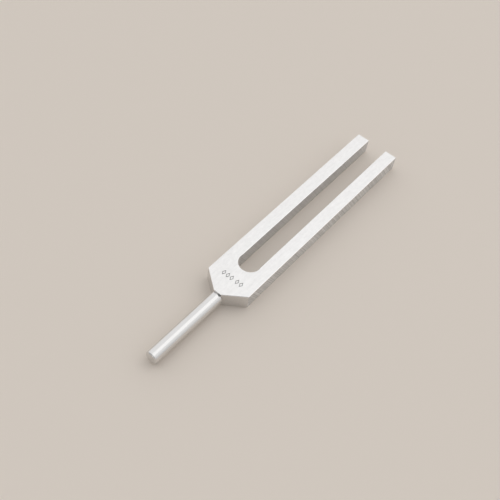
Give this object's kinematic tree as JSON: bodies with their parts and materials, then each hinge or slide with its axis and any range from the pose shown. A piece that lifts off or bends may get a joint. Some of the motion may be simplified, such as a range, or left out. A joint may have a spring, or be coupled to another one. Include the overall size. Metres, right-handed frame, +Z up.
{
  "type": "tuning fork",
  "caption": "Aluminium tuning fork: two straight square tines on a yoke with sloping shoulders, and a round handle stem screwed into its nose.",
  "frame": {"origin": "under the middle of the whole fork, on the plane its flat underside lies on", "axes": "+Y along the fork's long axis from the stem towards the tines, +Z up through its thickness, +X across the tines"},
  "size_m": [0.024, 0.1716, 0.0084],
  "materials": {
    "milled_aluminium": "satin, fine brushed faces and cross-grained sides",
    "turned_aluminium": "smooth turned, semi-bright"
  },
  "bodies": {
    "root": {"fork_body": "milled_aluminium", "stem": "turned_aluminium"}
  },
  "joints": []
}
